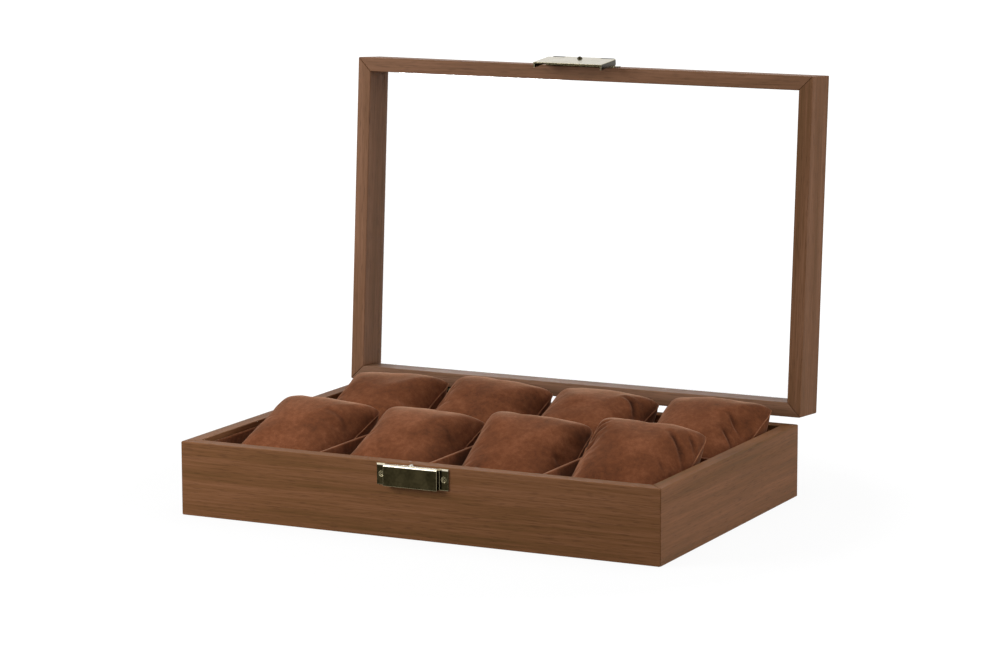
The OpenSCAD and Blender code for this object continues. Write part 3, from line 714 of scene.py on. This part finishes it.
covers = {}
for row, side in enumerate(LIE):
    for column in range(COLUMNS):
        bag = sewn_bag()
        lay(bag, row, column)
        for vert in bag.verts:
            vert.co = hold(vert.co, row, column)
        mesh = bpy.data.meshes.new(f"{side}_cushion_{column + 1}_cover")
        bag.to_mesh(mesh)
        bag.free()
        cover = bpy.data.objects.new(mesh.name, mesh)
        scene.collection.objects.link(cover)
        covers[row, column] = cover
print(len(covers), "bags of", len(mesh.vertices), "vertices")

# %% [markdown]
# The stuffing is simulated as air: Cloth with pressure and no gravity. The panels swell, the seam is pulled
# in and small puckers form along it. Twenty frames are enough, and no point may go past a cap, because the
# bag is already close to its final form. Then the points are held in the cell once more.

# %% Fill the cushions
FILL_PRESSURE = 20.0
FILL_FRAMES = 20
FILL_CAP = 1.8 * MM
# A supple knit: it stretches, shears and bends easily
VERTEX_MASS = 0.002
STRETCH, SHEAR, BEND = 5, 2, 0.02


def fill(bags):
    """Blows the bags up with cloth simulation and keeps the result in their meshes."""
    for bag in bags:
        cloth = bag.modifiers.new("filling", "CLOTH")
        cloth.point_cache.frame_start = 1
        cloth.point_cache.frame_end = FILL_FRAMES
        settings = cloth.settings
        settings.quality = 5
        settings.mass = VERTEX_MASS
        settings.tension_stiffness = settings.compression_stiffness = STRETCH
        settings.shear_stiffness = SHEAR
        settings.bending_stiffness = BEND
        settings.use_pressure = True
        settings.uniform_pressure_force = FILL_PRESSURE
        settings.effector_weights.gravity = 0
    for number in range(1, FILL_FRAMES + 1):
        scene.frame_set(number)
    depsgraph = bpy.context.evaluated_depsgraph_get()
    for bag in bags:
        filled = [v.co.copy() for v in bag.evaluated_get(depsgraph).data.vertices]
        for vert, goal in zip(bag.data.vertices, filled):
            step = goal - vert.co
            if step.length > FILL_CAP:
                step.length = FILL_CAP
            vert.co += step
        bag.modifiers.clear()
    scene.frame_set(1)


fill(list(covers.values()))
for (row, column), cover in covers.items():
    for vert in cover.data.vertices:
        vert.co = hold(vert.co, row, column)
print("cushions filled")

# %% [markdown]
# Folds come after the filling. A fold is a short curved valley with a low ridge on each side, and it is
# given by three points on the cloth. The mesh is subdivided once, so that a fold a millimetre wide has
# vertices to bend, and each vertex moves along its normal by its distance from the fold's line. Shade is
# painted into each valley as well, in an attribute that darkens the cloth.

# %% Folds
# Start, middle and end on the cloth, then depth and width in millimetres, by row and column
FOLDS = {
    (0, 0): [
        ((0.42, 0.32), (0.72, 0.28), (0.90, 0.10), 0.7, 1.8),
    ],
    (0, 1): [
        ((0.60, 0.30), (0.76, 0.22), (0.92, 0.02), 0.5, 1.8),
    ],
    (0, 2): [
        ((0.62, 0.10), (0.78, 0.02), (0.92, -0.16), 0.5, 1.8),
    ],
    (0, 3): [
        ((0.46, 0.60), (0.66, 0.43), (0.93, 0.15), 1.5, 1.5),
        ((0.80, 0.66), (0.86, 0.60), (0.97, 0.50), 0.9, 1.2),
        ((0.52, 0.0), (0.58, -0.06), (0.67, -0.14), 0.7, 1.2),
        ((-0.96, 0.60), (-0.86, 0.68), (-0.72, 0.70), 1.2, 1.4),
        ((-0.97, 0.40), (-0.86, 0.50), (-0.70, 0.55), 1.2, 1.4),
        ((-0.98, 0.18), (-0.90, 0.30), (-0.80, 0.38), 0.9, 1.4),
    ],
    (1, 1): [
        ((-0.92, 0.12), (-0.86, 0.25), (-0.74, 0.46), 0.9, 1.2),
        ((-0.86, 0.05), (-0.78, 0.18), (-0.68, 0.36), 0.6, 1.2),
    ],
    (1, 2): [
        ((0.56, 0.56), (0.76, 0.46), (0.92, 0.20), 1.6, 1.6),
    ],
    (1, 3): [
        ((0.50, 0.34), (0.66, 0.22), (0.88, 0.07), 1.0, 1.3),
        ((0.55, 0.0), (0.70, -0.10), (0.88, -0.26), 1.2, 1.3),
    ],
}
FOLD_STEPS = 14
# Where the ridges stand and where the fold ends, both in widths of the fold
RIDGE_AT = 2.1
FOLD_REACH = 4
RIDGE_SHARE = 0.25
# Along the fold its depth is half a sine wave to this power, cut short by a share at both ends
FOLD_TAPER = 0.6
FOLD_END = 0.08
# The painted shade's width in widths of the fold, and the fold depth in millimetres at which it is darkest
FOLD_SHADE_WIDTH = 0.8
FOLD_SHADE_DEPTH = 1.4
HALF = Vector((cell_w / 2 - SIDE_SPACE, CUSHION_LEN / 2))


def fold_line(fold):
    """Points along the fold's curve in millimetres on the cloth."""
    start, middle, end = (Vector((p[0] * HALF.x, p[1] * HALF.y)) / MM for p in fold[:3])
    bend = 2 * middle - (start + end) / 2
    shares = [step / FOLD_STEPS for step in range(FOLD_STEPS + 1)]
    return [start.lerp(bend, t).lerp(bend.lerp(end, t), t) for t in shares]


def fold_height(spot, line, depth, width):
    """How far a fold moves a point, down in its valley and up on its ridges, and how much shade is painted
    on it.
    """
    gap, index = min(((spot - p).length, i) for i, p in enumerate(line))
    if gap > FOLD_REACH * width:
        return 0.0, 0.0
    run = min(max(index / (len(line) - 1), FOLD_END), 1 - FOLD_END)
    ends = math.sin(math.pi * run) ** FOLD_TAPER
    valley = math.exp(-((gap / width) ** 2))
    ridge = RIDGE_SHARE * math.exp(-(((gap - RIDGE_AT * width) / width) ** 2))
    # Painted shade, darkest on the fold's line and growing with its depth
    pressed = math.exp(-((gap / (FOLD_SHADE_WIDTH * width)) ** 2)) * ends * min(1, depth / FOLD_SHADE_DEPTH)
    return (ridge - valley) * depth * ends, pressed


print(sum(len(folds) for folds in FOLDS.values()), "folds on", len(FOLDS), "cushions")

# %% [markdown]
# The crown also gets broad, faint dimples, because stuffing is never quite even. They fade out towards the
# seam. Folds and dimples stay on the upper side, where the cloth is free to move.

# %% Press the folds in
DIMPLE_SIZE = 19 * MM
DIMPLE_DEPTH = 0.7 * MM
# The dimples are whole from this share of the cloth inside the seam
DIMPLE_EDGE = 1 / 8
# Upper side: where the normal points up by more than this
FACING_UP = 0.05


def refine(cover):
    """Subdivides the cover once for good, keeping the places on the cloth."""
    finer = cover.modifiers.new("finer", "SUBSURF")
    finer.levels = finer.render_levels = 1
    depsgraph = bpy.context.evaluated_depsgraph_get()
    mesh = bpy.data.meshes.new_from_object(cover.evaluated_get(depsgraph))
    cover.modifiers.clear()
    cover.data = mesh


def crease(cover, row, column):
    """Presses the folds and faint dimples into the crown, and paints shade into the folds' valleys."""
    mesh = cover.data
    # An attribute that holds the shade painted into the folds
    mesh.attributes.new("pressed", "FLOAT", "POINT")
    across, along, fold_shade_layer = (mesh.attributes[name].data for name in ("across", "along", "pressed"))
    folds = [(fold_line(fold), fold[3], fold[4]) for fold in FOLDS.get((row, column), [])]
    normals = [v.normal.copy() for v in mesh.vertices]
    for i, vert in enumerate(mesh.vertices):
        if normals[i].z < FACING_UP:
            continue
        spot = Vector((across[i].value * HALF.x, along[i].value * HALF.y)) / MM
        edge = 1 - max(abs(across[i].value), abs(along[i].value))
        moved = noise.noise(vert.co / DIMPLE_SIZE) * DIMPLE_DEPTH * min(1, edge / DIMPLE_EDGE)
        for line, depth, width in folds:
            height, pressed = fold_height(spot, line, depth, width)
            moved += height * MM
            fold_shade_layer[i].value = max(fold_shade_layer[i].value, pressed)
        vert.co = hold(vert.co + normals[i] * moved, row, column)


for (row, column), cover in covers.items():
    refine(cover)
    crease(cover, row, column)
print("each cover has", len(cover.data.vertices), "vertices now")

# %% [markdown]
# The seam shows as a thin raised line where the two panels' edges are turned in. It is a tube of cloth laid
# along the loop of vertices at the edge of the panels: a closed curve with a round section, made a mesh.

# %% Seams
SEAM_R = 0.36 * MM
# A vertex is on the seam where its place on the cloth is this near to the panel's edge, which is 1
SEAM_EDGE = 0.9995


def seam_loop(cover):
    """The points of the seam in order round the cushion."""
    mesh = cover.data
    across, along = (mesh.attributes[name].data for name in ("across", "along"))
    found = []
    for i, vert in enumerate(mesh.vertices):
        u, v = across[i].value, along[i].value
        if max(abs(u), abs(v)) > SEAM_EDGE:
            found.append((math.atan2(v, u), vert.co.copy()))
    return [point for turn, point in sorted(found, key=lambda pair: pair[0])]


def sew_seam(name, points):
    """A closed tube along the points."""
    line = bpy.data.curves.new(name, "CURVE")
    line.dimensions = "3D"
    line.bevel_depth = SEAM_R
    line.bevel_resolution = 2
    path = line.splines.new("POLY")
    path.points.add(len(points) - 1)
    for spot, point in zip(path.points, points):
        spot.co = (*point, 1)
    path.use_cyclic_u = True
    drawn = bpy.data.objects.new(name + "_line", line)
    scene.collection.objects.link(drawn)
    depsgraph = bpy.context.evaluated_depsgraph_get()
    mesh = bpy.data.meshes.new_from_object(drawn.evaluated_get(depsgraph))
    bpy.data.objects.remove(drawn)
    mesh.name = name
    seam = bpy.data.objects.new(name, mesh)
    scene.collection.objects.link(seam)
    return seam


seams = {}
for place, cover in covers.items():
    points = seam_loop(cover)
    seams[place] = sew_seam(cover.name.replace("_cover", "_seam"), points)
print("each seam has", len(points), "points")

# %% [markdown]
# Cover and seam wear the same cloth. Each cover is cut from another place of it, and the seam is painted
# paler, as a painted highlight along its sharp turn. Both ride on the body of their cushion, and the cover
# takes the place of its plain solid. A last subdivision rounds the cover off.

# %% Finish of the cushions
# Paler tones: a painted highlight along the seam's turn
SEAM_HIGHLIGHT_TONES = ("#7a4b34", "#936144", "#ad7855")

seam_cloth = microsuede("microsuede_seam", (0.9, 0.3, 0.6), SEAM_HIGHLIGHT_TONES)
for (row, column), cover in covers.items():
    name = cover.name.replace("_cover", "")
    seam = seams[row, column]
    cloth = microsuede(f"microsuede_{name}", (0.31 * column, 0.53 * row, 0.17 * column))
    for piece, made in ((cover, cloth), (seam, seam_cloth)):
        piece.data.materials.clear()
        piece.data.materials.append(made)
        piece.data.polygons.foreach_set("use_smooth", [True] * len(piece.data.polygons))
        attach(piece, name + "_body")
    round_off = cover.modifiers.new("round_off", "SUBSURF")
    round_off.levels = round_off.render_levels = 1
    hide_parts(name)
print(len(covers), "cushions are finished")
